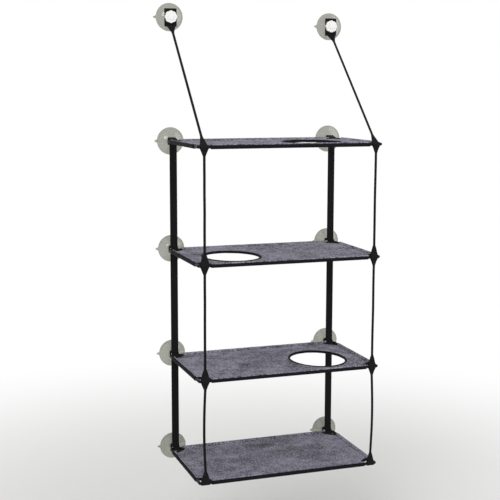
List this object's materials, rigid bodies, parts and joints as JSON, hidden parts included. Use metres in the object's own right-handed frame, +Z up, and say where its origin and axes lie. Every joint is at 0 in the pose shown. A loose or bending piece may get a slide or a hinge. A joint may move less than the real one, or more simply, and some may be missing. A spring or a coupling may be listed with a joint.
{
  "type": "window mounted cat perch",
  "caption": "Tall window perch for cats: fleece topped shelves on bent steel frames, hung on webbing from suction cups, with oval climbing openings.",
  "frame": {"origin": "on the glass plane, midway between the two cups of the top shelf", "axes": "+Y into the glass, -Y into the room, +X to the right along the window, +Z up"},
  "size_m": [0.6614, 0.3945, 1.532],
  "materials": {
    "nylon_webbing": "woven, matt",
    "cover_nylon": "woven, slight sheen",
    "fleece": "napped, heathered grey",
    "binding_tape": "woven tape",
    "coated_steel": "satin black",
    "clear_pvc": "translucent gloss",
    "white_plastic": "moulded, satin"
  },
  "bodies": {
    "root": {"rear_strips_1": "nylon_webbing", "rear_strips_2": "nylon_webbing", "rear_strips_3": "nylon_webbing", "suction_cup_1_left": "clear_pvc", "rear_tab_1_left": "nylon_webbing", "suction_cup_1_right": "clear_pvc", "rear_tab_1_right": "nylon_webbing", "suction_cup_2_left": "clear_pvc", "rear_tab_2_left": "nylon_webbing", "suction_cup_2_right": "clear_pvc", "rear_tab_2_right": "nylon_webbing", "suction_cup_3_left": "clear_pvc", "rear_tab_3_left": "nylon_webbing", "suction_cup_3_right": "clear_pvc", "rear_tab_3_right": "nylon_webbing", "suction_cup_4_left": "clear_pvc", "rear_tab_4_left": "nylon_webbing", "suction_cup_4_right": "clear_pvc", "rear_tab_4_right": "nylon_webbing", "suction_cup_top_left": "clear_pvc", "upper_strap_left": "nylon_webbing", "suction_cup_top_right": "clear_pvc", "upper_strap_right": "nylon_webbing"},
    "front_straps": {"front_loop_1_left": "nylon_webbing", "front_loop_1_right": "nylon_webbing", "front_loop_2_left": "nylon_webbing", "front_loop_2_right": "nylon_webbing", "front_loop_3_left": "nylon_webbing", "front_loop_3_right": "nylon_webbing", "front_loop_4_left": "nylon_webbing", "front_loop_4_right": "nylon_webbing", "front_straps_1": "nylon_webbing", "front_straps_2": "nylon_webbing", "front_straps_3": "nylon_webbing"},
    "shelf_1": {"frame_1": "coated_steel", "underside_1": "cover_nylon", "fleece_1": "fleece", "opening_tape_1": "binding_tape"},
    "shelf_2": {"frame_2": "coated_steel", "underside_2": "cover_nylon", "fleece_2": "fleece", "opening_tape_2": "binding_tape"},
    "shelf_3": {"frame_3": "coated_steel", "underside_3": "cover_nylon", "fleece_3": "fleece", "opening_tape_3": "binding_tape"},
    "shelf_4": {"frame_4": "coated_steel", "underside_4": "cover_nylon", "fleece_4": "fleece"},
    "rear_nut_1_left": {"rear_nut_1_left": "white_plastic"},
    "rear_nut_1_right": {"rear_nut_1_right": "white_plastic"},
    "rear_nut_2_left": {"rear_nut_2_left": "white_plastic"},
    "rear_nut_2_right": {"rear_nut_2_right": "white_plastic"},
    "rear_nut_3_left": {"rear_nut_3_left": "white_plastic"},
    "rear_nut_3_right": {"rear_nut_3_right": "white_plastic"},
    "rear_nut_4_left": {"rear_nut_4_left": "white_plastic"},
    "rear_nut_4_right": {"rear_nut_4_right": "white_plastic"},
    "knob_nut_left": {"knob_nut_left": "white_plastic"},
    "knob_nut_right": {"knob_nut_right": "white_plastic"}
  },
  "joints": [
    {"name": "shelf_1_fold", "type": "hinge", "parent": "root", "child": "shelf_1", "pos_m": [0, -0.04415, 0], "axis": [-1, 0, 0], "range_deg": [0, 80], "deforming": ["upper_strap_left", "upper_strap_right"]},
    {"name": "shelf_2_fold", "type": "hinge", "parent": "root", "child": "shelf_2", "pos_m": [0, -0.04415, -0.358], "axis": [-1, 0, 0], "range_deg": [0, 80]},
    {"name": "shelf_3_fold", "type": "hinge", "parent": "root", "child": "shelf_3", "pos_m": [0, -0.04415, -0.716], "axis": [-1, 0, 0], "range_deg": [0, 80]},
    {"name": "shelf_4_fold", "type": "hinge", "parent": "root", "child": "shelf_4", "pos_m": [0, -0.04415, -1.042], "axis": [-1, 0, 0], "range_deg": [0, 80]},
    {"name": "front_straps_fold", "type": "hinge", "parent": "shelf_1", "child": "front_straps", "pos_m": [0, -0.38785, 0], "axis": [-1, 0, 0], "range_deg": [-80, 0]},
    {"name": "rear_nut_1_left_turn", "type": "hinge", "parent": "root", "child": "rear_nut_1_left", "pos_m": [-0.2812, -0.02, 0], "axis": [0, -1, 0], "continuous": true},
    {"name": "rear_nut_1_right_turn", "type": "hinge", "parent": "root", "child": "rear_nut_1_right", "pos_m": [0.2812, -0.02, 0], "axis": [0, -1, 0], "continuous": true},
    {"name": "rear_nut_2_left_turn", "type": "hinge", "parent": "root", "child": "rear_nut_2_left", "pos_m": [-0.2812, -0.02, -0.358], "axis": [0, -1, 0], "continuous": true},
    {"name": "rear_nut_2_right_turn", "type": "hinge", "parent": "root", "child": "rear_nut_2_right", "pos_m": [0.2812, -0.02, -0.358], "axis": [0, -1, 0], "continuous": true},
    {"name": "rear_nut_3_left_turn", "type": "hinge", "parent": "root", "child": "rear_nut_3_left", "pos_m": [-0.2812, -0.02, -0.716], "axis": [0, -1, 0], "continuous": true},
    {"name": "rear_nut_3_right_turn", "type": "hinge", "parent": "root", "child": "rear_nut_3_right", "pos_m": [0.2812, -0.02, -0.716], "axis": [0, -1, 0], "continuous": true},
    {"name": "rear_nut_4_left_turn", "type": "hinge", "parent": "root", "child": "rear_nut_4_left", "pos_m": [-0.2812, -0.02, -1.042], "axis": [0, -1, 0], "continuous": true},
    {"name": "rear_nut_4_right_turn", "type": "hinge", "parent": "root", "child": "rear_nut_4_right", "pos_m": [0.2812, -0.02, -1.042], "axis": [0, -1, 0], "continuous": true},
    {"name": "knob_nut_left_turn", "type": "hinge", "parent": "root", "child": "knob_nut_left", "pos_m": [-0.2812, -0.02, 0.4], "axis": [0, -1, 0], "continuous": true},
    {"name": "knob_nut_right_turn", "type": "hinge", "parent": "root", "child": "knob_nut_right", "pos_m": [0.2812, -0.02, 0.38], "axis": [0, -1, 0], "continuous": true}
  ],
  "couplings": [
    {"joint": "shelf_2_fold", "follows": "shelf_1_fold", "ratio": 1},
    {"joint": "shelf_3_fold", "follows": "shelf_1_fold", "ratio": 1},
    {"joint": "shelf_4_fold", "follows": "shelf_1_fold", "ratio": 1},
    {"joint": "front_straps_fold", "follows": "shelf_1_fold", "ratio": -1}
  ]
}
